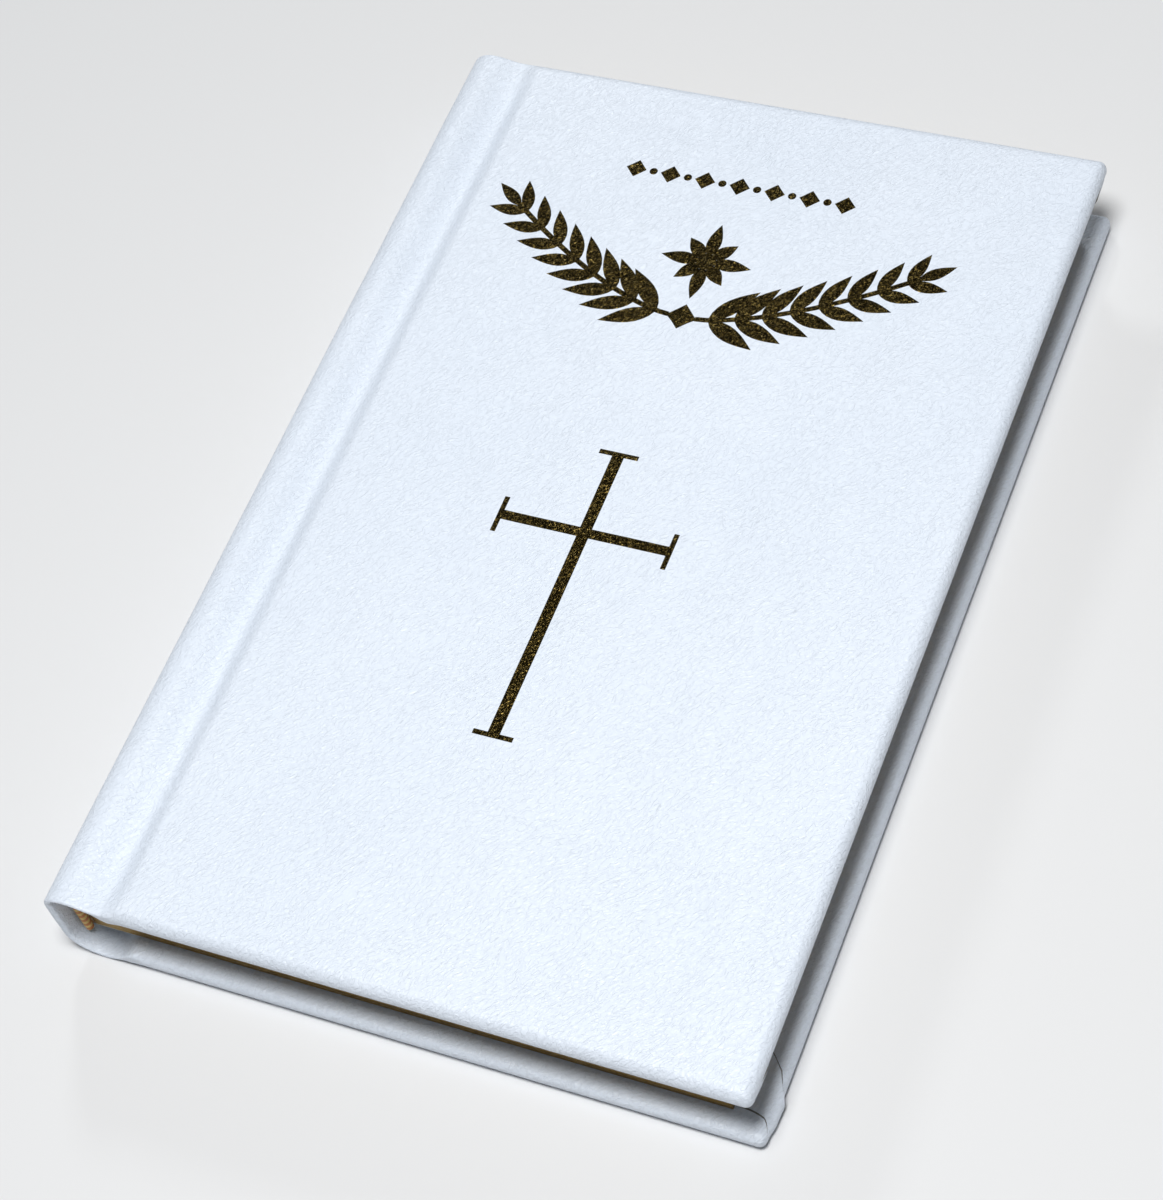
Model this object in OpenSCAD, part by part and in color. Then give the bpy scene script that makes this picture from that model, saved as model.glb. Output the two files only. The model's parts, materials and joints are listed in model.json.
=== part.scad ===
// A slim padded-cover bible lying closed on its back cover.
// X runs from the spine to the fore edge, Y from the foot to the head, Z up. Millimetres.

/* [Case] */
// Width of the closed book from spine to fore edge
case_w = 148; // [140:1:156]
// Height of the covers from foot to head
case_h = 223; // [210:1:236]
// Thickness of each grey board
board_t = 2.0; // [1.6:0.1:2.4]
// Thickness of the foam padding on each board
foam_t = 1.5; // [1.1:0.1:2.0]
// Thickness of the covering material
skin_t = 0.4; // [0.3:0.05:0.45]
// Plan radius of the two outer corners of each cover
corner_r = 2.8; // [2.6:0.1:6]
// Width of the covering material folded over inside each cover
turn_in = 15; // [10:1:20]
// Width of folded-in material left uncovered around each pastedown
paste_margin = 7.5; // [5:0.5:9]

/* [Text block] */
// Height of the pages from foot to head
page_h = 213.5; // [202:0.5:214]
// Gap between the page fore edge and the cover fore edge
fore_square = 7.5; // [4.5:0.5:8]
// Number of sewn sections
sections = 15; // [12:1:18]
// Pitch of the sections through the thickness of the block
section_pitch = 0.92; // [0.88:0.01:1.0]
// Depth of the sewing kerf in each fold
kerf = 0.6; // [0.55:0.05:0.8]

/* [Spine] */
// Depth of the groove beside the spine, on both covers
groove_depth = 1.7; // [1.2:0.1:1.8]
// Height of the rounding from the spine into the front cover
round_front = 4.7; // [4:0.1:6]
// Height of the rounding from the spine into the back cover
round_back = 7; // [5:0.5:8]
// Thickness of the card inside the hollow spine
inlay_t = 0.9; // [0.6:0.1:1.0]

/* [Foil] */
// Height of the cross
cross_h = 69.6; // [55:0.2:72]
// Half of the span of the cross arms
cross_half = 19.2; // [15:0.2:24]
// Width of the cross upright
cross_stem = 2.6; // [2:0.1:3.4]
// Thickness of the foil
foil_thick = 0.08; // [0.05:0.01:0.1]

/* [Hidden] */
$fn = 40;
paper_t = 0.15;
leaf_t = 0.1;
x0 = -case_w / 2;
x1 = case_w / 2;
y1 = case_h / 2;
// heights inside one cover, from its inner face to its outer face
v_skin_in = paper_t;
v_board = v_skin_in + skin_t;
v_foam = v_board + board_t;
v_skin = v_foam + foam_t;
cover_t = v_skin + skin_t;
block_t = sections * section_pitch + 2 * leaf_t;
case_t = 2 * cover_t + block_t;
z_block = cover_t;
spine_x = x0 + 4.5;
fore_x = x1 - fore_square;
groove_x = x0 + 13;
solid_x = x0 + 11;
board_x = x0 + 15;
step_deg = 10;
// how far each rounding of the spine reaches in from its back
reach_front = 5.5;
reach_back = 8;

function section_name(i) = str("section_", i < 10 ? "0" : "", i);

// unit normal of a path at one of its points
function along(p, i) = p[min(i + 1, len(p) - 1)] - p[max(i - 1, 0)];
function side(p, i) = let (d = along(p, i)) [-d[1], d[0]] / norm(d);
// closed outline of a sheet that follows a path, with a thickness each way
function sheet(p, t) = concat(
    [for (i = [0:len(p) - 1]) p[i] + side(p, i) * t / 2],
    [for (i = [len(p) - 1:-1:0]) p[i] - side(p, i) * t / 2]);

// height of the middle of the covering material over the groove
z_top = case_t - skin_t / 2;
z_hump = z_top - 0.2;
z_low = z_top - groove_depth;
rise_w = 5.2;
function ease(a, b, s) = a + (b - a) * (1 - cos(180 * s)) / 2;
// a point between the top of the hump and the groove floor, for a rounding of some reach
function slope(reach, s) = [x0 + reach + (groove_x - x0 - reach) * s, ease(z_hump, z_low, s)];
// share of that slope at which the cover stops being stiff
function split(reach) = (solid_x + 0.1 - x0 - reach) / (groove_x - x0 - reach);

// from the groove floor up to the flat of the cover
rise = [for (s = [0:0.1:1]) [groove_x + rise_w * s, ease(z_low, z_top, s)]];
// from where the cover stops being stiff, down to the groove floor
function fall(reach) = let (c = split(reach))
    [for (k = [0:4]) slope(reach, c + (1 - c) * k / 5)];
// from the back of the spine over the hump, to where the cover starts
function hump(reach, tall) = let (c = split(reach), z = case_t - tall) concat(
    [for (a = [0:step_deg:90]) [x0 + reach - (reach - skin_t / 2) * cos(a),
        z + (z_hump - z) * sin(a)]],
    [for (k = [1:8]) slope(reach, (c - 0.01) * k / 8)]);

// stands a drawing of the X-Z section upright and runs it along Y between two values
module run_y(y_from, y_to)
    translate([0, y_to, 0]) rotate([90, 0, 0]) linear_extrude(y_to - y_from) children();

// turns front cover pieces over into back cover pieces
module as_back() translate([0, 0, case_t]) mirror([0, 0, 1]) children();

// outline of a cover in plan, open at the spine side, set in by an amount
module plan(inset, from_x) {
    r = max(corner_r - inset, 0.5);
    w = x1 - inset - from_x;
    h = case_h - 2 * inset;
    translate([from_x, -h / 2]) union() {
        square([w - r, h]);
        translate([0, r]) square([w, h - 2 * r]);
        for (y = [r, h - r]) translate([w - r, y]) circle(r);
    }
}

// section through the folded edge of the covering material: x is in from the edge
module edge_shape(inset, r_low, r_high) {
    lo = v_skin_in + inset;
    hi = cover_t - inset;
    translate([inset + r_low, lo]) square([corner_r - inset - r_low, r_low]);
    translate([inset, lo + r_low])
        square([corner_r - inset, hi - lo - r_low - r_high]);
    translate([inset + r_high, hi - r_high])
        square([corner_r - inset - r_high, r_high]);
    intersection() {
        translate([inset + r_low, lo + r_low]) circle(r_low);
        translate([inset, lo]) square([r_low, r_low]);
    }
    intersection() {
        translate([inset + r_high, hi - r_high]) circle(r_high);
        translate([inset, hi - r_high]) square([r_high, r_high]);
    }
}

module edge_skin()
    difference() {
        edge_shape(0, 0.9, 2.1);
        edge_shape(skin_t, 0.9 - skin_t, 2.1 - skin_t);
        translate([corner_r, 0]) square([5, 10]);
    }

// carries a section drawing round three sides of a cover, with v = 0 at its inner face
module round_edges(from_x, z_in) {
    len_x = x1 - corner_r - from_x;
    translate([0, 0, z_in]) {
        for (s = [-1, 1])
            translate([from_x, s * y1, 0]) mirror([0, s > 0 ? 1 : 0, 0])
                rotate([90, 0, 90]) linear_extrude(len_x) children();
        translate([x1, -y1 + corner_r, 0]) mirror([1, 0, 0])
            rotate([90, 0, 0]) mirror([0, 0, 1])
                linear_extrude(case_h - 2 * corner_r) children();
        for (s = [-1, 1])
            translate([x1 - corner_r, s * (y1 - corner_r), 0])
                rotate([0, 0, s > 0 ? 0 : -90])
                    rotate_extrude(angle = 90, $fn = 48)
                        translate([corner_r, 0]) mirror([1, 0]) children();
    }
}

// ---- front cover, from the inside out ----

module pastedown() {
    lo = case_t - cover_t;
    color("ivory") difference() {
        union() {
            translate([0, 0, lo]) linear_extrude(paper_t) plan(paste_margin, solid_x);
            translate([solid_x, -y1 + turn_in + 0.3, lo])
                cube([x1 - turn_in - 0.3 - solid_x, case_h - 2 * turn_in - 0.6,
                    0.28 + paper_t]);
        }
        translate([solid_x - 1, -y1 + turn_in + 0.3 + paper_t, lo - 1])
            cube([x1 - turn_in - 0.3 - paper_t - solid_x + 1,
                case_h - 2 * turn_in - 0.6 - 2 * paper_t, 1.28]);
    }
}

module mull_flange() {
    lo = case_t - cover_t + v_board - 0.12;
    color("wheat") translate([board_x, -y1 + 20, lo])
        cube([22, case_h - 40, 0.12]);
}

module board() {
    lo = case_t - cover_t + v_board;
    color("tan") translate([0, 0, lo]) linear_extrude(board_t) plan(1, board_x);
}

module foam() {
    lo = case_t - cover_t + v_foam;
    flat_t = 0.3;
    from_x = board_x + 0.6;
    color("gainsboro") {
        translate([0, 0, lo]) linear_extrude(flat_t) plan(1, from_x);
        hull() {
            translate([0, 0, lo + flat_t - 0.01]) linear_extrude(0.01) plan(1, from_x);
            translate([0, 0, lo + foam_t - 0.01])
                linear_extrude(0.01) plan(1.9, from_x + 3);
        }
    }
}

module cover_leather(reach) {
    lo = case_t - cover_t;
    flat_x = groove_x + rise_w;
    color("whitesmoke") union() {
        round_edges(board_x, lo) edge_skin();
        // flat outside
        translate([0, 0, lo + v_skin]) linear_extrude(skin_t)
            translate([flat_x, -y1 + corner_r])
                square([x1 - corner_r - flat_x, case_h - 2 * corner_r]);
        // turned in along the foot, the fore edge and the head
        translate([0, 0, lo + v_skin_in]) linear_extrude(skin_t) difference() {
            translate([board_x, -y1 + corner_r])
                square([x1 - corner_r - board_x, case_h - 2 * corner_r]);
            translate([board_x - 1, -y1 + turn_in])
                square([x1 - turn_in - board_x + 1, case_h - 2 * turn_in]);
        }
        // down into the groove beside the spine
        run_y(-y1 + 0.3, y1 - 0.3) polygon(sheet(concat(fall(reach), rise), skin_t));
    }
}

module joint_leather(reach, tall)
    color("whitesmoke") run_y(-y1 + 0.3, y1 - 0.3)
        polygon(sheet(hump(reach, tall), skin_t));

// endpaper and mull between the block and the cover
module hinge_paper() {
    lo = case_t - cover_t;
    color("ivory") translate([spine_x + 0.2, -page_h / 2, lo])
        cube([solid_x - spine_x - 0.4, page_h, paper_t]);
}

module front_board() board();
module front_foam() foam();
module front_leather() difference() {
    cover_leather(reach_front);
    foil_recess();
}
module front_pastedown() pastedown();
module front_mull() mull_flange();
module front_joint_leather() joint_leather(reach_front, round_front);
module front_hinge_paper() translate([0, 0, 0.02]) hinge_paper();
module back_board() as_back() board();
module back_foam() as_back() foam();
module back_leather() as_back() cover_leather(reach_back);
module back_pastedown() as_back() pastedown();
module back_mull() as_back() mull_flange();
module back_joint_leather() as_back() joint_leather(reach_back, round_back);
module back_hinge_paper() as_back() translate([0, 0, 0.02]) hinge_paper();

// ---- spine ----

// outer layer, folded in over the card at the head and the foot
module spine_leather() {
    lo = round_back + 0.1;
    tall = case_t - round_front - 0.1 - lo;
    slot = inlay_t + 0.02;
    color("whitesmoke") difference() {
        translate([x0, -y1, lo]) cube([2 * skin_t + slot, case_h, tall]);
        translate([x0 + skin_t, -y1 + skin_t, lo - 1])
            cube([slot, case_h - 2 * skin_t, tall + 2]);
        translate([x0 + skin_t + slot - 0.01, -y1 + turn_in, lo - 1])
            cube([5, case_h - 2 * turn_in, tall + 2]);
    }
}

module spine_inlay() {
    lo = round_back + 0.3;
    color("tan") translate([x0 + skin_t + 0.01, -y1 + skin_t + 0.1, lo])
        cube([inlay_t, case_h - 2 * skin_t - 0.2, case_t - round_front - 0.3 - lo]);
}

module spine_mull()
    color("wheat") translate([spine_x - 0.2, -y1 + 20, z_block])
        cube([0.2, case_h - 40, block_t]);

module spine_lining()
    color("tan") translate([spine_x - 0.5, -page_h / 2, z_block])
        cube([0.3, page_h, block_t]);

// a rolled bead across the end of the block, on a tape glued to the lining
module band() {
    r = 0.85;
    color("goldenrod") {
        translate([spine_x - r, page_h / 2 + r + 0.1, z_block + 0.1])
            cylinder(r = r, h = block_t - 0.2);
        translate([spine_x - 0.9, page_h / 2 - 9, z_block + 0.1])
            cube([0.35, 9 + r, block_t - 0.2]);
    }
}
module head_band() band();
module tail_band() mirror([0, 1, 0]) band();

// ---- sewing ----

stations = 6;
first_station = page_h / 2 - 12;
station_gap = 2 * first_station / (stations - 1);
function station(i) = -first_station + i * station_gap;

// one upright chain of thread at each kerf
module sewing_thread()
    color("white") for (i = [0:stations - 1])
        translate([spine_x + 0.26, station(i), z_block + leaf_t + 0.05])
            cylinder(r = 0.22, h = block_t - 2 * leaf_t - 0.1);

// ---- pages ----

module leaf_outline() square([fore_x - spine_x, page_h]);

// a folded and sewn gathering, counted from the front cover down
module gathering(i)
    color(i % 2 == 0 ? "gold" : "khaki")
        translate([spine_x, -page_h / 2,
            z_block + leaf_t + (sections - i) * section_pitch + 0.01])
            linear_extrude(section_pitch - 0.02) difference() {
                leaf_outline();
                for (k = [0:stations - 1])
                    translate([-1, station(k) + page_h / 2 - 0.6])
                        square([1 + kerf, 1.2]);
            }

module flyleaf(z_at)
    color("ivory") translate([spine_x, -page_h / 2, z_at])
        linear_extrude(leaf_t - 0.02) leaf_outline();
module front_flyleaf() flyleaf(z_block + block_t - leaf_t + 0.01);
module back_flyleaf() flyleaf(z_block + 0.01);

// ---- foil pressed into the front cover ----

cross_top = 15;
arm_y = -5.2;
serif = 8.6;
serif_t = 1.1;
arm_t = 2.25;

module cross_shape() {
    foot = cross_top - cross_h;
    translate([-cross_stem / 2, foot]) square([cross_stem, cross_h]);
    translate([-cross_half, arm_y - arm_t / 2]) square([2 * cross_half, arm_t]);
    for (y = [foot, cross_top - serif_t])
        translate([-serif / 2, y]) square([serif, serif_t]);
    for (x = [-cross_half, cross_half - serif_t])
        translate([x, arm_y - serif / 2]) square([serif_t, serif]);
}

// a pointed leaf along +X from the origin
module leaf(l, w) {
    n = 8;
    polygon(concat(
        [for (i = [0:n]) [l * i / n, w / 2 * sin(180 * pow(i / n, 0.8))]],
        [for (i = [n - 1:-1:1]) [l * i / n, -w / 2 * sin(180 * pow(i / n, 0.8))]]));
}

// the stem of the right-hand branch, from the middle out to its tip
branch_w = 43;
branch_h = 21;
leaf_pairs = 8;
function stem(s) = [3 + branch_w * s, -13 + branch_h * pow(s, 1.5)];
function stem_angle(s) = atan2(1.5 * branch_h * sqrt(s), branch_w);

module branch() {
    polygon(sheet([for (s = [0:0.05:1.01]) stem(s)], 1.2));
    for (i = [1:leaf_pairs], m = [-1, 1]) {
        s = (i - 0.35) / leaf_pairs;
        translate(stem(s - 0.02)) rotate(stem_angle(s) + 36 * m)
            translate([0.2, 0]) leaf(13 * (1 - 0.34 * s), 3.9 * (1 - 0.25 * s));
    }
    translate(stem(0.985)) rotate(stem_angle(1)) leaf(8.5, 2.8);
}

// two leafy branches that meet below a rosette
module ornament_shape() translate([0, 64]) {
    for (m = [0, 1]) mirror([m, 0]) branch();
    translate([0, 2]) {
        for (a = [0:45:315]) rotate(a) translate([1.2, 0]) leaf(a % 90 == 0 ? 9 : 6.5, 3.2);
        circle(2.2);
    }
    translate([0, -13]) rotate(45) square(4.6, center = true);
}

// a row of small lozenges with dots between them
module row_shape() translate([0, 87]) {
    for (i = [-3:3]) translate([i * 8, 0]) rotate(45) square(3.3, center = true);
    for (i = [-3:2]) translate([i * 8 + 4, 0]) circle(0.9);
}

foil_z = case_t - 0.12;
module foil_piece()
    color("darkgoldenrod") translate([0, 0, foil_z]) linear_extrude(foil_thick)
        children();
module foil_cross() foil_piece() cross_shape();
module foil_ornament() foil_piece() ornament_shape();
module foil_row() foil_piece() row_shape();

// the blocked artwork sits a little below the surface of the cover
module foil_recess() translate([0, 0, foil_z]) linear_extrude(1) {
    cross_shape();
    ornament_shape();
    row_shape();
}

front_board();
front_foam();
front_leather();
front_pastedown();
front_mull();
front_joint_leather();
front_hinge_paper();
front_flyleaf();
back_board();
back_foam();
back_leather();
back_pastedown();
back_mull();
back_joint_leather();
back_hinge_paper();
back_flyleaf();
spine_leather();
spine_inlay();
spine_mull();
spine_lining();
head_band();
tail_band();
sewing_thread();
foil_cross();
foil_ornament();
foil_row();
for (i = [1:sections])
    gathering(i);
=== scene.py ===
import json
import math

import bmesh
import bpy
import numpy as np
from mathutils import Matrix, Quaternion, Vector, noise


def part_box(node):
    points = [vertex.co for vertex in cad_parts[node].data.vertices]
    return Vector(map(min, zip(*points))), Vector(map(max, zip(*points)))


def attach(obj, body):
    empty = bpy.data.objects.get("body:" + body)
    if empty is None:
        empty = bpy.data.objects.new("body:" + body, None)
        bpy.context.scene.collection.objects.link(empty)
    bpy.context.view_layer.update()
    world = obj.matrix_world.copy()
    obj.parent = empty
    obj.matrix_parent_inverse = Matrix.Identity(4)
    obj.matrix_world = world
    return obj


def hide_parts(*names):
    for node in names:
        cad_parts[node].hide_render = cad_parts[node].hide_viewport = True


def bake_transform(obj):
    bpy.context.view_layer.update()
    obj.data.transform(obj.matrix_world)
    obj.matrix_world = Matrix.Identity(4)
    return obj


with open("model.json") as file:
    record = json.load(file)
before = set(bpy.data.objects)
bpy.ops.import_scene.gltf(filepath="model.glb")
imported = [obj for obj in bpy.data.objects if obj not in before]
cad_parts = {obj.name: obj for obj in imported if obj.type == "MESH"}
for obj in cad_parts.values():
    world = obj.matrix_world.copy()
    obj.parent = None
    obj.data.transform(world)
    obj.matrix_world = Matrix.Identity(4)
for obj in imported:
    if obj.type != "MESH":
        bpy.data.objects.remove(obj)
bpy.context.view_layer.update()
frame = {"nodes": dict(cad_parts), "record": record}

MM = 0.001

# ---- sizes in millimetres: first what the CAD boxes give, then what they can't ----


def node_box(name):
    low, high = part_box(name)
    return np.array(low) / MM, np.array(high) / MM


skin_low, skin_high = node_box("front_leather")
paste_low, paste_high = node_box("front_pastedown")
leaf_low, leaf_high = node_box("front_flyleaf")
spine_low, spine_high = node_box("spine_leather")
CASE_T = skin_high[2]
X_SPINE, X_FORE = spine_low[0], skin_high[0]
Y_HALF = skin_high[1]
PAGE_X0, PAGE_X1, PAGE_Y = leaf_low[0], leaf_high[0], leaf_high[1]
Z_UNDER = skin_low[2]
Z_PASTE = paste_low[2]

# how far each rounding of the spine reaches in, and how tall it is
FRONT_ROUND = (5.5, 4.7)
BACK_ROUND = (8.0, 7.0)
# how far a cover's skin runs on down the back of the spine
SEAM = 1.2
# thickness and edge radius of the covering at the back of the spine, and over the joint
SPINE_T = 1.7
SPINE_R = 0.8
JOINT_T = 0.9
JOINT_R = 0.42
# across the cover: the shoulder, the bottom of the groove and the edge of the board
HUMP_X = X_SPINE + FRONT_ROUND[0]
GROOVE_X = X_SPINE + 13
COVER_X = X_SPINE + 18.2
# where the thin covering starts to fill out to the whole cover, and over what width
FILL_X = GROOVE_X - 2.0
FILL_WIDTH = 4.2
# how far the shoulder lies below the cover, and the groove below the shoulder
HUMP_DROP = 0.2
GROOVE_DEPTH = 2.3
# radii of the padded cover: in plan, over the outer edges and under the inner ones
CORNER_R = 1.6
PAD_R = 2.4
UNDER_R = 1.5


def ease(a, b, s):
    """From a to b along half a cosine wave."""
    return a + (b - a) * (1 - math.cos(math.pi * s)) / 2


def smooth(t):
    """An even ramp from 0 to 1, level at both ends."""
    t = min(max(t, 0.0), 1.0)
    return t * t * (3 - 2 * t)


# ---- mesh helpers ----


def make_object(name, verts_mm, faces, smooth_shade=True):
    """A linked mesh object from points in millimetres."""
    mesh = bpy.data.meshes.new(name)
    mesh.from_pydata([tuple(np.array(v) * MM) for v in verts_mm], [], faces)
    mesh.validate()
    mesh.update()
    if smooth_shade:
        for p in mesh.polygons:
            p.use_smooth = True
    obj = bpy.data.objects.new(name, mesh)
    bpy.context.scene.collection.objects.link(obj)
    return obj


def grid_faces(rows, cols, start=0, flip=False):
    """Four-sided faces of a grid whose points start at one index and run row by row."""
    out = []
    for i in range(rows - 1):
        for j in range(cols - 1):
            a = start + i * cols + j
            q = (a, a + 1, a + cols + 1, a + cols)
            out.append(q[::-1] if flip else q)
    return out


def rim_path(rows, cols):
    """The places round the rim of a grid, in order, as (row, column)."""
    return ([(0, j) for j in range(cols)] + [(i, cols - 1) for i in range(1, rows)]
            + [(rows - 1, j) for j in range(cols - 2, -1, -1)]
            + [(i, 0) for i in range(rows - 2, 0, -1)])


def rim_faces(rows, cols, start=0):
    """Faces that close the rim between two grids whose points follow each other."""
    half = rows * cols
    rim = [start + i * cols + j for i, j in rim_path(rows, cols)]
    return [(a, b, b + half, a + half) for a, b in zip(rim, rim[1:] + rim[:1])]


def recalc_outside(obj):
    """Turn all faces outwards."""
    bm = bmesh.new()
    bm.from_mesh(obj.data)
    bmesh.ops.recalc_face_normals(bm, faces=bm.faces)
    bm.to_mesh(obj.data)
    bm.free()


# ---- the padded leather case ----


def undulation(x, y):
    """Slow unevenness of the foam under the leather, in mm."""
    big = noise.noise(Vector((x * 0.028, y * 0.028, 3.1)))
    small = noise.noise(Vector((x * 0.11, y * 0.11, 7.7)))
    return 0.16 * big + 0.05 * small


def groove_share(y):
    """How much of the groove depth is left near the head and the foot."""
    return 1 - 0.5 * smooth((abs(y) - (Y_HALF - 11)) / 11)


def fill_share(x):
    """How far the case is filled out from one layer of leather to the whole cover."""
    return smooth((x - FILL_X) / FILL_WIDTH)


def case_thickness(x):
    """Thickness of the case between the shoulder and the cover."""
    return JOINT_T + (CASE_T - Z_UNDER - JOINT_T) * fill_share(x)


def station(x, z, thick, radius, radius_in, groove=0.0, fill=0.0):
    """One cut through the case: p on its outer face, the thickness t, the radii r and ri of its
    outer and inner edges, its share g of the groove's depth, and how far it is filled out."""
    return dict(p=(x, z), t=thick, r=radius, ri=radius_in, g=groove, fill=fill)


def cover_stations(rounding):
    """Stations of the case from the back of the spine to the fore edge, each with its outward
    normal n."""
    out = []
    reach, tall = rounding
    hump_x, spine_edge = X_SPINE + reach, CASE_T - tall
    for z in np.linspace(spine_edge - SEAM, spine_edge, 3)[:-1]:
        out.append(station(X_SPINE, z, SPINE_T, SPINE_R, SPINE_R))
    # up round the edge of the spine, where the covering gets thinner
    rise = tall - HUMP_DROP
    for k in range(13):
        angle = math.radians(7.5 * k)
        thick = SPINE_T - (SPINE_T - JOINT_T) * smooth(k / 8)
        radius = thick / 2 - 0.03
        out.append(station(hump_x - reach * math.cos(angle), spine_edge + rise * math.sin(angle),
                           thick, radius, radius))
    # down into the groove
    top = CASE_T - HUMP_DROP
    for k in range(1, 19):
        s = k / 18
        x = hump_x + (GROOVE_X - hump_x) * s
        out.append(station(x, top, case_thickness(x), JOINT_R, JOINT_R, ease(0, 1, s),
                           fill_share(x)))
    # up onto the cover
    for k in range(1, 17):
        s = k / 16
        x = GROOVE_X + (COVER_X - GROOVE_X) * s
        out.append(station(x, top + HUMP_DROP * s, case_thickness(x),
                           JOINT_R + (PAD_R - JOINT_R) * smooth(s),
                           JOINT_R + (UNDER_R - JOINT_R) * smooth(s), ease(1, 0, s),
                           fill_share(x)))
    # across the cover, closer together towards the rounding of its corners
    xs = list(np.linspace(COVER_X, X_FORE - 3.4, 56)[1:])
    xs += [X_FORE - inward for inward in (2.9, 2.4, 2.0, CORNER_R)]
    xs += [X_FORE - CORNER_R * (1 - math.sin(math.radians(a))) for a in range(10, 91, 8)]
    out += [station(x, CASE_T, CASE_T - Z_UNDER, PAD_R, UNDER_R) for x in xs]
    for i, here in enumerate(out):
        before, after = out[max(i - 1, 0)]["p"], out[min(i + 1, len(out) - 1)]["p"]
        along = np.array(after) - np.array(before)
        normal = np.array((-along[1], along[0])) / np.linalg.norm(along)
        here["n"] = normal if here["p"][0] < hump_x + 1 else np.array((0.0, 1.0))
    out[0]["n"] = out[1]["n"] = np.array((-1.0, 0.0))
    return out


# points across a station, between its two rounded edges
INNER_STEPS = 58


def edge_distances(r):
    """Distances in from the edge at which the case is sampled, dense over the rounding."""
    arc = [r * (1 - math.cos(math.radians(a))) for a in (0, 12, 24, 36, 48, 60, 72, 84)]
    return arc + [r + 0.5, r + 1.4, r + 2.8]


def drop(d, r):
    """How far a rounded edge of radius r lies below the face, d in from the edge."""
    if d >= r:
        return 0.0
    return r - math.sqrt(max(r * r - (r - d) ** 2, 0.0))


def station_samples(x, radius):
    """Points across a station, from the head to the foot, as (y, distance in from the edge)."""
    corner_x, corner_y = X_FORE - CORNER_R, Y_HALF - CORNER_R
    to_fore = max(X_FORE - x, 0.0)
    side = []
    for d in edge_distances(radius):
        if x <= corner_x:
            side.append((Y_HALF - d, d))
        elif d <= to_fore:
            across = (CORNER_R - d) ** 2 - (x - corner_x) ** 2
            side.append((corner_y + math.sqrt(max(across, 0.0)), d))
        else:
            # inside the rounded corner, the points spread out along the fore edge
            side.append((corner_y - (d - to_fore) * 0.9, to_fore))
    y_in = side[-1][0]
    middle = [(y, to_fore) for y in np.linspace(y_in, -y_in, INNER_STEPS + 2)[1:-1]]
    return side + middle + [(-y, d) for y, d in reversed(side)]


def skin_mesh(name, stations, flip_z):
    """A closed skin from stations: an outer and an inner grid, stitched at their edges. The back
    cover is made like the front one and turned upside down."""
    rows_out, rows_in = [], []
    for s in stations:
        x, z = s["p"]
        n = s["n"]
        row_out, row_in = [], []
        for y, d in station_samples(x, max(s["r"], s["ri"])):
            d_edge = min(d, Y_HALF - abs(y)) if x <= X_FORE - CORNER_R else d
            d_edge = min(d_edge, max(X_FORE - x, 0.0))
            deep = GROOVE_DEPTH * s["g"] * groove_share(y)
            wave = undulation(x, y) * smooth((x - HUMP_X) / 6) * smooth(d_edge / 5)
            if flip_z:
                # nothing bulges into the floor
                wave = min(wave, 0.0)
            wave_spine = 0.10 * noise.noise(Vector((z * 0.15, y * 0.05, 1.3)))
            wave_spine *= 1 - smooth((x - X_SPINE) / (HUMP_X - X_SPINE))
            base_o = np.array((x, z)) - n * (drop(d_edge, s["r"]) + deep)
            base_o = base_o + n * (wave + wave_spine)
            under = s["t"] - drop(d_edge, s["ri"]) + deep * (1 - s["fill"])
            base_i = np.array((x, z)) - n * under
            row_out.append((base_o[0], y, base_o[1]))
            row_in.append((base_i[0], y, base_i[1]))
        rows_out.append(row_out)
        rows_in.append(row_in)
    n_rows, n_cols = len(rows_out), len(rows_out[0])
    verts = [v for r in rows_out for v in r] + [v for r in rows_in for v in r]
    half = n_rows * n_cols
    faces = grid_faces(n_rows, n_cols) + grid_faces(n_rows, n_cols, half, flip=True)
    for i in range(n_rows - 1):
        a, b = i * n_cols, (i + 1) * n_cols
        faces.append((a, b, b + half, a + half))
        a, b = a + n_cols - 1, b + n_cols - 1
        faces.append((b, a, a + half, b + half))
    cut = []
    if stations[-1]["p"][0] > COVER_X:
        last = (n_rows - 1) * n_cols
        for j in range(n_cols - 1):
            faces.append((last + j, last + j + 1, last + j + 1 + half, last + j + half))
        if flip_z:
            # the back cover has one flap, at the foot, which stands proud of the fore edge
            cut += add_fold(verts, faces, -1, FOLD_WRAP, FOLD_BULGE)
        else:
            # the front cover's two flaps lie flat under it
            cut += add_fold(verts, faces, 1, 0, 0.0) + add_fold(verts, faces, -1, 0, 0.0)
    if flip_z:
        verts = [(x, y, CASE_T - z) for x, y, z in verts]
    obj = make_object(name, verts, faces)
    recalc_outside(obj)
    obj.data.materials.append(leather)
    # the flaps' cut edges take the dark grey of painted shade, the thin shadow line along each
    # free edge
    obj.data.materials.append(painted_shade_cut_edge)
    for k in cut:
        obj.data.polygons[k].material_index = 1
        obj.data.polygons[k].use_smooth = False
    return obj


# thickness of a folded flap, how far its cut edges lean, how far it reaches in under the cover
FOLD_THICK = 0.45
CUT_LEAN = 0.42
FOLD_REACH = 7.2
FOLD_COLS = 20
# how many degrees a proud flap wraps round the outer edge, and how far it bulges there
FOLD_WRAP = 70
FOLD_BULGE = 0.35


def flap_edges(s):
    """Distances from the corner at which a flap starts and ends, s of the way round it."""
    first = 1.2 + 4.6 * (1 - min(s / 0.62, 1.0) ** 2.6)
    last = 9.0 + 10.0 * (1 - smooth(s / 0.75)) ** 1.2 - 4.0 * smooth((s - 0.75) / 0.25)
    return first, last


def flap_lift(s, along, bulge):
    """How far the flap stands off the cover: less next to its first edge, and on its outer
    part it only rises towards its last edge."""
    lift = FOLD_THICK * (0.75 + 0.25 * along) + bulge * smooth((s - 0.3) / 0.3) * along
    return lift * (1 - smooth((s - 0.35) / 0.3) * (1 - smooth(along / 0.5)))


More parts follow.
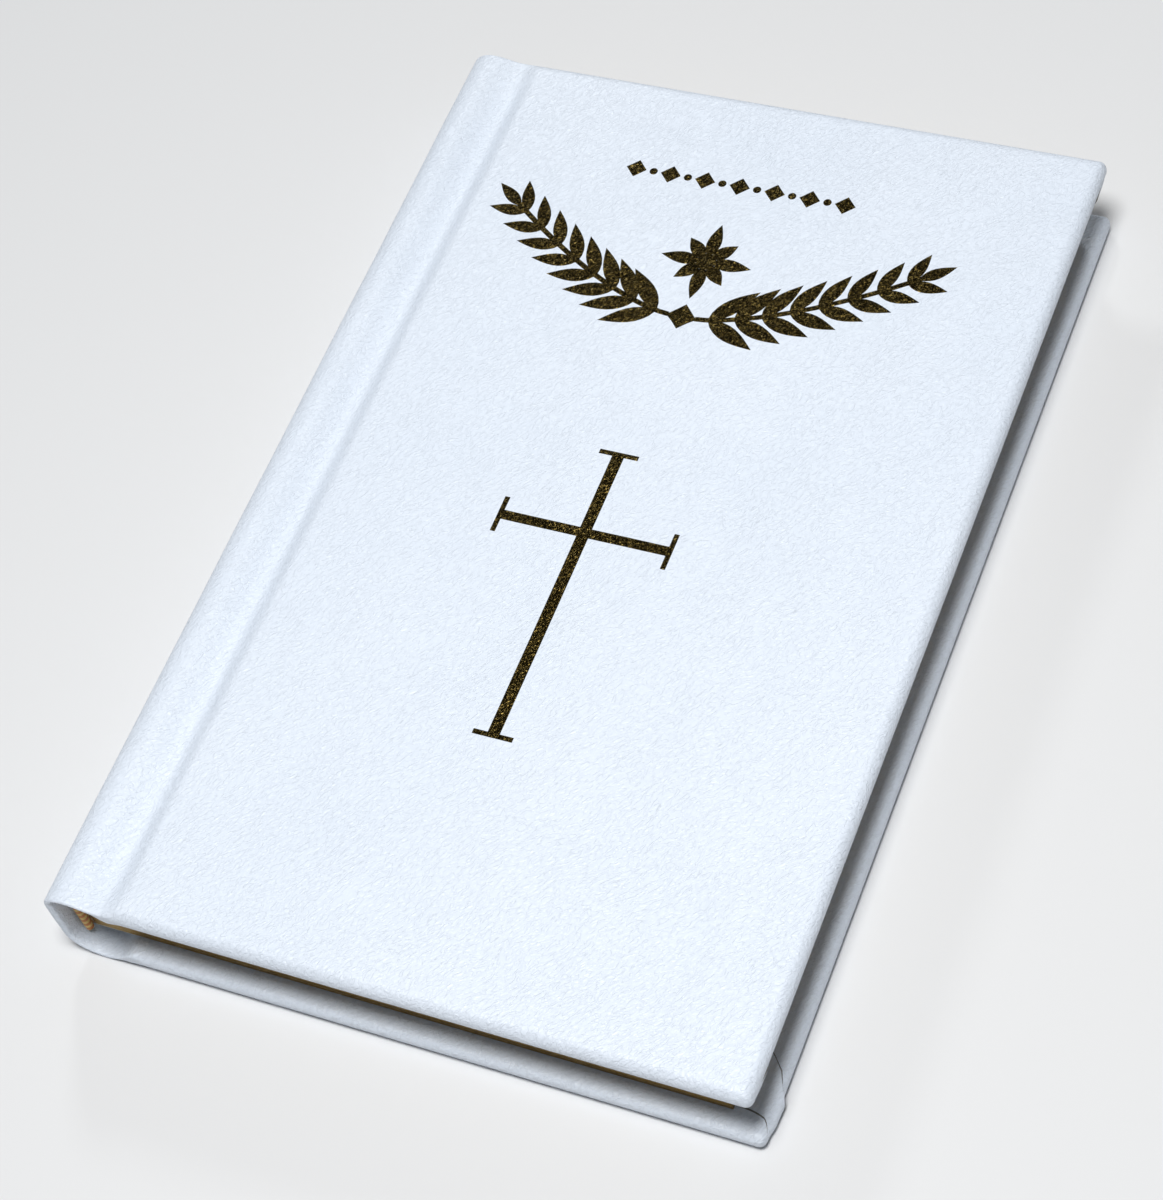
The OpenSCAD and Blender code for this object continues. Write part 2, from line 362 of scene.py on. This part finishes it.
def flap_lean(s, j):
    """How far the lower layer runs on past a cut edge, so that the edge leans outwards."""
    if j == FOLD_COLS - 1:
        return CUT_LEAN * (1 + 1.6 * smooth((s - 0.25) / 0.2))
    if j == 0:
        return -CUT_LEAN * (1 - smooth((s - 0.4) / 0.15))
    return 0.0


def fold_section(steps, wrap):
    """Points and normals round the fore edge of the front cover, from its inner face over the
    inner rounding, and for a wrap above 0 on round the outer one by so many degrees:
    (distance in, height, normal)."""
    out = []
    for k in range(8):
        out.append((FOLD_REACH + (UNDER_R - FOLD_REACH) * k / 8, Z_UNDER, (0.0, -1.0)))
    for k in range(steps + 1):
        a = math.radians(90 * k / steps)
        out.append((UNDER_R * (1 - math.sin(a)), Z_UNDER + UNDER_R * (1 - math.cos(a)),
                    (math.sin(a), -math.cos(a))))
    side_top = CASE_T - PAD_R
    for k in range(1, steps + 1 if wrap else 1):
        a = math.radians(wrap * k / steps)
        out.append((PAD_R * (1 - math.cos(a)), side_top + PAD_R * math.sin(a),
                    (math.cos(a), math.sin(a))))
    return out


def add_fold(verts, faces, side, wrap, bulge):
    """The folded corner of the covering material: a flap that wraps the fore edge next to a
    corner, with a free edge that sweeps outwards towards the corner. Returns the indices of
    the faces of its cut edges."""
    section = fold_section(8, wrap)
    rows, cols = len(section), FOLD_COLS
    start = len(verts)
    corner_y = Y_HALF - CORNER_R
    for upper in (True, False):
        for i, (d, z, n) in enumerate(section):
            s = i / (rows - 1)
            first, last = flap_edges(s)
            # it runs out to nothing at both ends of the section
            fade = smooth(i / 3.0) * smooth((rows - 1 - i) / 4.0)
            for j in range(cols):
                along = j / (cols - 1)
                y = Y_HALF - first - (last - first) * along
                edge = X_FORE
                if y > corner_y:
                    edge += math.sqrt(CORNER_R ** 2 - (y - corner_y) ** 2) - CORNER_R
                if upper:
                    lift = flap_lift(s, along, bulge) * fade - 0.05
                else:
                    lift = -0.2
                    y -= flap_lean(s, j)
                verts.append((edge - d + n[0] * lift, side * y, z + n[1] * lift))
    half = rows * cols
    faces += grid_faces(rows, cols, start, flip=side < 0)
    faces += grid_faces(rows, cols, start + half, flip=side > 0)
    # the cut edges are the stretches of the rim that run along a column
    rim = rim_path(rows, cols)
    turns = zip(rim, rim[1:] + rim[:1])
    cut = [len(faces) + k for k, (here, there) in enumerate(turns) if here[1] == there[1]]
    faces += rim_faces(rows, cols, start)
    return cut


def spine_mesh(name):
    """The back of the spine between the two covers' skins."""
    low, high = BACK_ROUND[1] + SEAM, CASE_T - FRONT_ROUND[1] - SEAM
    stations = [station(X_SPINE, z, SPINE_T, SPINE_R, SPINE_R) for z in np.linspace(low, high, 10)]
    for here in stations:
        here["n"] = np.array((-1.0, 0.0))
    return skin_mesh(name, stations, False)


# ---- materials ----


def new_material(name):
    mat = bpy.data.materials.new(name)
    mat.use_nodes = True
    return mat, mat.node_tree, mat.node_tree.nodes["Principled BSDF"]


def add(tree, kind, **settings):
    """A node with its settings. Those whose names start with in_ are its inputs."""
    node = tree.nodes.new(kind)
    for key, value in settings.items():
        if key.startswith("in_"):
            node.inputs[key[3:].replace("_", " ")].default_value = value
        else:
            setattr(node, key, value)
    return node


def math_node(tree, op, a, b=None):
    """One sum on outputs of nodes or plain numbers."""
    node = tree.nodes.new("ShaderNodeMath")
    node.operation = op
    for i, v in enumerate((a, b)):
        if v is None:
            continue
        if isinstance(v, (int, float)):
            node.inputs[i].default_value = v
        else:
            tree.links.new(v, node.inputs[i])
    return node.outputs[0]


def object_place(tree):
    return tree.nodes.new("ShaderNodeTexCoord").outputs["Object"]


def mapped(tree, vector, **settings):
    """Texture places turned or stretched."""
    node = tree.nodes.new("ShaderNodeMapping")
    for key, value in settings.items():
        node.inputs[key].default_value = value
    tree.links.new(vector, node.inputs["Vector"])
    return node.outputs["Vector"]


def texture(tree, kind, vector, **settings):
    """A texture node that reads the given places."""
    node = add(tree, kind, **settings)
    tree.links.new(vector, node.inputs["Vector"])
    return node


# distance between the bands of Blender's wave texture, at a scale of 1
BAND_SPACING = 0.314


def bands_texture(tree, vector, direction, pitch, distortion=0.0):
    """Bands across one axis, a pitch apart in mm."""
    wave = texture(tree, "ShaderNodeTexWave", vector, wave_type="BANDS", bands_direction=direction,
                   in_Scale=BAND_SPACING / (pitch * MM), in_Distortion=distortion)
    return wave.outputs["Fac"]


def tint(tree, factor, low, high, ends=(0.0, 1.0)):
    """Colours from low to high, as the factor goes from the first of the ends to the second."""
    ramp = tree.nodes.new("ShaderNodeValToRGB")
    for element, place, colour in zip(ramp.color_ramp.elements, ends, (low, high)):
        element.position = place
        element.color = (*colour, 1)
    tree.links.new(factor, ramp.inputs["Fac"])
    return ramp.outputs["Color"]


def spread(tree, value, low, high, ends=(0.0, 1.0)):
    """Numbers from low to high, as the value goes from the first of the ends to the second."""
    node = tree.nodes.new("ShaderNodeMapRange")
    settings = {"From Min": ends[0], "From Max": ends[1], "To Min": low, "To Max": high}
    for key, number in settings.items():
        node.inputs[key].default_value = number
    tree.links.new(value, node.inputs["Value"])
    return node.outputs["Result"]


def add_bump(tree, shader, height, distance, strength=1.0):
    bump = add(tree, "ShaderNodeBump", in_Strength=strength, in_Distance=distance)
    tree.links.new(height, bump.inputs["Height"])
    tree.links.new(bump.outputs["Normal"], shader.inputs["Normal"])


GRAIN_DIRECTION = math.radians(52)


def leather_height(tree, place):
    """Grain of the leatherette: wrinkles drawn out aslant across the cover in a direction that
    wanders, over soft pebbles about 1 mm across."""
    warp = texture(tree, "ShaderNodeTexNoise", place, in_Scale=45.0, in_Detail=2.0)
    shift = add(tree, "ShaderNodeVectorMath", operation="MULTIPLY_ADD")
    tree.links.new(warp.outputs["Color"], shift.inputs[0])
    shift.inputs[1].default_value = (0.005, 0.005, 0.005)
    tree.links.new(place, shift.inputs[2])
    turned = mapped(tree, shift.outputs[0], Rotation=(0.0, 0.0, -GRAIN_DIRECTION))
    wrinkles = texture(tree, "ShaderNodeTexNoise", mapped(tree, turned, Scale=(0.42, 1.0, 0.7)),
                       in_Scale=1450.0, in_Detail=2.0, in_Roughness=0.45, in_Distortion=0.5)
    wrinkle = wrinkles.outputs["Fac"]
    off = math_node(tree, "ABSOLUTE", math_node(tree, "SUBTRACT", wrinkle, 0.5))
    crease = math_node(tree, "MINIMUM", math_node(tree, "MULTIPLY", off, 9.0), 1.0)
    cells = texture(tree, "ShaderNodeTexVoronoi", mapped(tree, turned, Scale=(0.7, 1.0, 0.85)),
                    feature="SMOOTH_F1", in_Scale=1300.0, in_Smoothness=0.5)
    dome = math_node(tree, "SUBTRACT", 1.0, cells.outputs["Distance"])
    total = math_node(tree, "ADD", math_node(tree, "MULTIPLY", crease, 0.50),
                      math_node(tree, "MULTIPLY", dome, 0.70))
    return math_node(tree, "ADD", total, math_node(tree, "MULTIPLY", wrinkle, 0.9))


def leather_material():
    """White leatherette: grained, a little uneven in tone, smoother on top of the grain, with
    painted shade darkening the creases of the grain.
    """
    mat, tree, shader = new_material("white_leatherette")
    place = object_place(tree)
    height = leather_height(tree, place)
    add_bump(tree, shader, height, 0.00013)
    tone = texture(tree, "ShaderNodeTexNoise", place, in_Scale=22.0, in_Detail=3.0)
    colour = tint(tree, tone.outputs["Fac"], (0.738, 0.806, 0.900), (0.768, 0.832, 0.922),
                  (0.3, 0.75))
    # painted shade: the base colour is darkened by up to 7% in the creases, where the grain is low
    painted_crease_shade = add(tree, "ShaderNodeMix", data_type="RGBA", blend_type="MULTIPLY")
    painted_crease_shade.inputs["Factor"].default_value = 1.0
    tree.links.new(colour, painted_crease_shade.inputs["A"])
    tree.links.new(spread(tree, height, 0.93, 1.0, (0.5, 1.2)), painted_crease_shade.inputs["B"])
    tree.links.new(painted_crease_shade.outputs["Result"], shader.inputs["Base Color"])
    tree.links.new(spread(tree, height, 0.50, 0.36, (0.5, 1.4)), shader.inputs["Roughness"])
    shader.inputs["Specular IOR Level"].default_value = 0.45
    return mat


def foil_material():
    """Old gold foil, pressed into the grain; its colour is painted much darker than gold as a
    painted reflection of dark surroundings, with lighter flecks as painted glints.
    """
    mat, tree, shader = new_material("blocked_foil")
    place = object_place(tree)
    add_bump(tree, shader, leather_height(tree, place), 0.00034)
    noise_node = texture(tree, "ShaderNodeTexNoise", place, in_Scale=1500.0, in_Detail=3.0,
                         in_Roughness=0.7)
    painted_glint_flecks = noise_node.outputs["Fac"]
    # painted reflection and glints: a dark ground far below gold stands for the dark surroundings
    # the foil reflects, and the lighter flecks are painted glints
    colour = tint(tree, painted_glint_flecks, (0.045, 0.032, 0.009), (0.17, 0.12, 0.035), (0.52, 0.72))
    tree.links.new(colour, shader.inputs["Base Color"])
    shader.inputs["Metallic"].default_value = 1.0
    tree.links.new(spread(tree, painted_glint_flecks, 0.22, 0.34), shader.inputs["Roughness"])
    return mat


def edge_material():
    """Gilt edges of the pages: fine leaf lines across a soft gold."""
    mat, tree, shader = new_material("gilt_page_edge")
    across_leaves = mapped(tree, object_place(tree), Scale=(14.0, 14.0, 9000.0))
    noise_node = texture(tree, "ShaderNodeTexNoise", across_leaves, in_Scale=1.0, in_Detail=3.0)
    lines = noise_node.outputs["Fac"]
    colour = tint(tree, lines, (0.26, 0.15, 0.035), (0.58, 0.365, 0.085), (0.35, 0.68))
    tree.links.new(colour, shader.inputs["Base Color"])
    add_bump(tree, shader, lines, 0.00006, 0.5)
    shader.inputs["Metallic"].default_value = 0.9
    tree.links.new(spread(tree, lines, 0.30, 0.48), shader.inputs["Roughness"])
    return mat


def fibre_material(name, low, high, scale, stretch=(1, 1, 1), roughness=0.85, depth=0.00004):
    """Paper, board, foam or a cut edge: mottled colour with a fibrous bump."""
    mat, tree, shader = new_material(name)
    place = mapped(tree, object_place(tree), Scale=stretch)
    fine = texture(tree, "ShaderNodeTexNoise", place, in_Scale=scale, in_Detail=5.0,
                   in_Roughness=0.65).outputs["Fac"]
    tree.links.new(tint(tree, fine, low, high, (0.3, 0.7)), shader.inputs["Base Color"])
    add_bump(tree, shader, fine, depth, 0.6)
    tree.links.new(spread(tree, fine, roughness, roughness - 0.1), shader.inputs["Roughness"])
    return mat


def weave_material(name, low, high, pitch, roughness=0.9):
    """Cloth or thread: sets of strands that cross on a piece lying flat and on an upright one."""
    mat, tree, shader = new_material(name)
    place = object_place(tree)
    x_set, y_set, z_set = [bands_texture(tree, place, axis, pitch, 0.6) for axis in "XYZ"]
    pair = math_node(tree, "ADD", math_node(tree, "MULTIPLY", x_set, y_set), z_set)
    colour = tint(tree, math_node(tree, "MULTIPLY", pair, 0.6), low, high)
    tree.links.new(colour, shader.inputs["Base Color"])
    add_bump(tree, shader, pair, 0.0001, 0.7)
    shader.inputs["Roughness"].default_value = roughness
    shader.inputs["Sheen Weight"].default_value = 0.2
    return mat


def band_material():
    """Woven end band with orange and gold stripes wound round its cord."""
    mat, tree, shader = new_material("striped_band")
    place = object_place(tree)
    stripes = bands_texture(tree, place, "Z", 1.7, 0.8)
    colour = tint(tree, stripes, (0.62, 0.20, 0.03), (0.86, 0.60, 0.18), (0.42, 0.58))
    tree.links.new(colour, shader.inputs["Base Color"])
    add_bump(tree, shader, bands_texture(tree, place, "Z", 0.28), 0.00012, 0.8)
    shader.inputs["Roughness"].default_value = 0.6
    shader.inputs["Sheen Weight"].default_value = 0.3
    return mat


leather = leather_material()
# painted shade: the flaps' cut edges are dark grey, standing for the thin shadow line along each
# flap's free edge
painted_shade_cut_edge = fibre_material("cut_leather_edge_painted_shade", (0.16, 0.15, 0.14), (0.26, 0.25, 0.24), 1500.0)
foil = foil_material()
gilt = edge_material()
paper = fibre_material("bible_paper", (0.80, 0.77, 0.69), (0.86, 0.835, 0.765), 900.0)
endpaper = fibre_material("white_endpaper", (0.83, 0.82, 0.79), (0.90, 0.89, 0.865), 700.0)
board = fibre_material("grey_board", (0.27, 0.24, 0.20), (0.38, 0.34, 0.29), 1200.0,
                       roughness=0.95, depth=0.00012)
foam_mat = fibre_material("white_foam", (0.78, 0.78, 0.76), (0.90, 0.90, 0.88), 2200.0,
                          roughness=0.95, depth=0.0002)
kraft = fibre_material("kraft_lining", (0.42, 0.30, 0.17), (0.52, 0.39, 0.24), 500.0, (1, 6, 1))
mull = weave_material("mull_cloth", (0.55, 0.52, 0.44), (0.85, 0.83, 0.76), 0.9)
thread_mat = weave_material("linen_thread", (0.75, 0.73, 0.67), (0.92, 0.90, 0.85), 0.3)
bands = band_material()

# ---- the case ----

front_skin = skin_mesh("front_cover_skin", cover_stations(FRONT_ROUND), False)
back_skin = skin_mesh("back_cover_skin", cover_stations(BACK_ROUND), True)
spine_skin = spine_mesh("spine_skin")
for obj, body, nodes in (
    (front_skin, "front_cover", ("front_leather", "front_joint_leather")),
    (back_skin, "back_cover", ("back_leather", "back_joint_leather")),
):
    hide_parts(*nodes)
    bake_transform(obj)
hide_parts("spine_leather")
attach(spine_skin, "text_block")

# ---- endpapers, flyleaves and sections ----

# width at the back of a leaf or a flyleaf over which its points lie close together
LEAF_BEND = 14.0
# how deep the folded back of a section is rounded
FOLD_ROUND = 0.45


def bend_from_block(piece):
    """Bakes the piece's transform into its mesh."""
    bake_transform(piece)


def leaf_xs(x_from):
    """Places across a leaf, close together near its back."""
    near = list(np.linspace(x_from, x_from + LEAF_BEND, 26))
    return near + list(np.linspace(x_from + LEAF_BEND, PAGE_X1, 14)[1:])


def slab(name, xs, z_low, z_high, round_spine, face_mat):
    """A stack of leaves with gilt edges: two grids and a rim. Its back is rounded like a fold."""
    ys = list(np.linspace(-PAGE_Y, PAGE_Y, 22))
    rows, cols = len(xs), len(ys)
    mid, half_t = (z_low + z_high) / 2, (z_high - z_low) / 2
    verts = []
    for sign in (1, -1):
        for x in xs:
            pinch = 1.0
            if round_spine and x - xs[0] < round_spine:
                pinch = max(math.sin(math.acos(1 - (x - xs[0]) / round_spine)), 0.12)
            for y in ys:
                verts.append((x, y, mid + sign * half_t * pinch))
    faces = grid_faces(rows, cols) + grid_faces(rows, cols, rows * cols, flip=True)
    faces += rim_faces(rows, cols)
    obj = make_object(name, verts, faces, smooth_shade=False)
    recalc_outside(obj)
    obj.data.materials.append(face_mat)
    obj.data.materials.append(gilt)
    for p in obj.data.polygons:
        p.material_index = 0 if abs(p.normal.z) > 0.5 else 1
    return obj


def place_leaves(piece, node, body):
    """The piece stands for its node: it is attached to the block if its node is in the block's
    body, and otherwise has its transform baked.
    """
    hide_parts(node)
    if body == "text_block":
        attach(piece, body)
    else:
        bend_from_block(piece)


bodies = frame["record"]["behaviour"]["bodies"]
body_of_node = {node: body for body, nodes in bodies.items() for node in nodes}
fold_xs = [PAGE_X0 + FOLD_ROUND * share for share in (0, 0.04, 0.15, 0.35, 0.65)]
section_xs = fold_xs + leaf_xs(PAGE_X0 + FOLD_ROUND)
for name in sorted(node for node in body_of_node if node.startswith("section_")):
    low, high = node_box(name)
    piece = slab("leaves_of_" + name, section_xs, low[2], high[2], FOLD_ROUND, paper)
    place_leaves(piece, name, body_of_node[name])

for name in ("front_flyleaf", "back_flyleaf"):
    low, high = node_box(name)
    piece = slab(name + "_sheet", leaf_xs(PAGE_X0), low[2], high[2], 0, endpaper)
    place_leaves(piece, name, body_of_node[name])


PAPER_T = 0.13
# inside the folded-in leather, which is so wide, the pastedown sinks in so deep
TURN_IN = 15.0
SINK = 0.25
# where the strip over the joint widens to the size of the pastedown
WIDEN_X = X_SPINE + 14


def pastedown(name, flip):
    """The endpaper glued to the inside of a cover, running on to the fold at the block."""
    x_from, x_bent, x_to = PAGE_X0 + 0.1, PAGE_X0 + 11.1, paste_high[0]
    xs = list(np.linspace(x_from, x_bent, 18)) + list(np.linspace(x_bent, x_to, 40)[1:])
    shares = list(np.linspace(-1, 1, 60))
    verts = []
    for height in (0, PAPER_T):
        for x in xs:
            over = smooth((x - WIDEN_X) / 3)
            y_half = PAGE_Y + (paste_high[1] - PAGE_Y) * over
            for share in shares:
                y = share * y_half
                inside = min(smooth((Y_HALF - TURN_IN - abs(y)) / 1.2),
                             smooth((X_FORE - TURN_IN - x) / 1.2))
                verts.append((x, y, Z_PASTE + 0.02 + SINK * inside * over + height))
    if flip:
        verts = [(x, y, CASE_T - z) for x, y, z in verts]
    rows, cols = len(xs), len(shares)
    faces = grid_faces(rows, cols, flip=True) + grid_faces(rows, cols, rows * cols)
    faces += rim_faces(rows, cols)
    obj = make_object(name, verts, faces)
    recalc_outside(obj)
    obj.data.materials.append(endpaper)
    return obj


for side, flip in (("front", False), ("back", True)):
    piece = pastedown(side + "_pastedown_sheet", flip)
    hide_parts(side + "_pastedown", side + "_hinge_paper")
    bend_from_block(piece)

# ---- foil, laid on the unevenness of the cover ----

# width of the foil's raised rim, how far it stands over the cover, and how far its sides go down
FOIL_RIM = 0.22 * MM
FOIL_LIFT = 0.10 * MM
FOIL_SIDES = 0.25 * MM
# how deep the face is pressed in below the rim, and the size of the squares it is cut into
FOIL_SINK = 0.07 * MM
FOIL_CUT = 1.5 * MM


def blocking(name):
    """The foil of one CAD node: only its face, sunk inside a narrow rim, cut fine enough to lie
    on the uneven cover."""
    low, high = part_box(name)
    bm = bmesh.new()
    bm.from_mesh(frame["nodes"][name].data)
    bmesh.ops.remove_doubles(bm, verts=bm.verts, dist=1e-6)
    under = [f for f in bm.faces if f.calc_center_median().z < high.z - 1e-6]
    bmesh.ops.delete(bm, geom=under, context="FACES")
    inner = list(bm.faces)
    inner_verts = {v for f in inner for v in f.verts}
    bmesh.ops.inset_region(bm, faces=inner, thickness=FOIL_RIM, depth=0.0, use_boundary=True,
                           use_even_offset=True)
    for v in bm.verts:
        v.co.z = -FOIL_SINK if v in inner_verts else 0.0
    for axis in (0, 1):
        lo, hi = low[axis], high[axis]
        for k in range(1, int((hi - lo) / FOIL_CUT) + 1):
            place, normal = Vector((0, 0, 0)), Vector((0, 0, 0))
            place[axis], normal[axis] = lo + k * FOIL_CUT, 1.0
            bmesh.ops.bisect_plane(bm, geom=list(bm.verts) + list(bm.edges) + list(bm.faces),
                                   plane_co=place, plane_no=normal)
    for v in bm.verts:
        v.co.z += (CASE_T + undulation(v.co.x / MM, v.co.y / MM)) * MM + FOIL_LIFT
    rim = bmesh.ops.extrude_edge_only(bm, edges=[e for e in bm.edges if e.is_boundary])
    for v in rim["geom"]:
        if isinstance(v, bmesh.types.BMVert):
            v.co.z -= FOIL_SIDES
    bmesh.ops.recalc_face_normals(bm, faces=bm.faces)
    mesh = bpy.data.meshes.new(name + "_blocking")
    bm.to_mesh(mesh)
    bm.free()
    obj = bpy.data.objects.new(name + "_blocking", mesh)
    bpy.context.scene.collection.objects.link(obj)
    mesh.materials.append(foil)
    return obj


for name in ("foil_cross", "foil_ornament", "foil_row"):
    piece = blocking(name)
    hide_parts(name)
    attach(piece, "front_cover")

# ---- CAD pieces that keep their shape ----

for name, mat in (
    ("front_board", board), ("back_board", board), ("spine_inlay", board),
    ("front_foam", foam_mat), ("back_foam", foam_mat),
    ("front_mull", mull), ("back_mull", mull), ("spine_mull", mull),
    ("spine_lining", kraft), ("head_band", bands), ("tail_band", bands),
    ("sewing_thread", thread_mat),
):
    for s in frame["nodes"][name].material_slots:
        s.material = mat

# ---- floor, light and camera ----

FLOOR_HALF = 6.0
corners = [(x * FLOOR_HALF, y * FLOOR_HALF, 0) for x, y in ((-1, -1), (1, -1), (1, 1), (-1, 1))]
floor_mesh = bpy.data.meshes.new("studio_floor")
floor_mesh.from_pydata(corners, [], [(0, 1, 2, 3)])
floor = bpy.data.objects.new("studio_floor", floor_mesh)
bpy.context.scene.collection.objects.link(floor)
floor_mat, floor_tree, floor_shader = new_material("pale_floor")
floor_shader.inputs["Base Color"].default_value = (0.74, 0.745, 0.75, 1)
floor_shader.inputs["Roughness"].default_value = 0.9
floor_mesh.materials.append(floor_mat)


def area_light(name, place, target, size, power, color):
    """A round soft light that faces the target."""
    data = bpy.data.lights.new(name, "AREA")
    data.shape, data.size, data.energy, data.color = "DISK", size, power, color
    obj = bpy.data.objects.new(name, data)
    bpy.context.scene.collection.objects.link(obj)
    obj.location = place
    obj.rotation_euler = (Vector(target) - Vector(place)).to_track_quat("-Z", "Y").to_euler()


# from nearly overhead, a little past the foot of the book
area_light("key_light", place=(0.11, -0.22, 1.07), target=(0.02, -0.05, 0.01), size=0.34,
           power=12.0, color=(1.0, 1.0, 1.0))
# weak and low, from past the head and the spine, to bring out the groove
area_light("rake_light", place=(-0.55, 0.85, 0.60), target=(0, 0, 0.01), size=0.18,
           power=2.2, color=(0.95, 0.98, 1.0))

world = bpy.data.worlds.new("studio_world")
world.use_nodes = True
world.node_tree.nodes["Background"].inputs["Color"].default_value = (0.95, 0.97, 1.0, 1)
world.node_tree.nodes["Background"].inputs["Strength"].default_value = 0.07
bpy.context.scene.world = world
bpy.context.scene.view_settings.view_transform = "Standard"

# above the foot of the book and the fore edge, aimed at the middle and rolled
CAMERA_PLACE = Vector((0.2151, -0.2960, 0.5224))
CAMERA_TARGET = Vector((0.0028, -0.0169, 0.0166))
CAMERA_ROLL = math.radians(-18.8)
camera_data = bpy.data.cameras.new("photo_camera")
camera = bpy.data.objects.new("photo_camera", camera_data)
bpy.context.scene.collection.objects.link(camera)
aim = (CAMERA_TARGET - CAMERA_PLACE).to_track_quat("-Z", "Y")
turn = aim @ Quaternion((0, 0, 1), CAMERA_ROLL)
camera.matrix_world = Matrix.Translation(CAMERA_PLACE) @ turn.to_matrix().to_4x4()
camera_data.lens = 92.1
camera_data.sensor_width = 36.0
camera_data.sensor_fit = "AUTO"
camera_data.clip_start = 0.01
bpy.context.scene.camera = camera
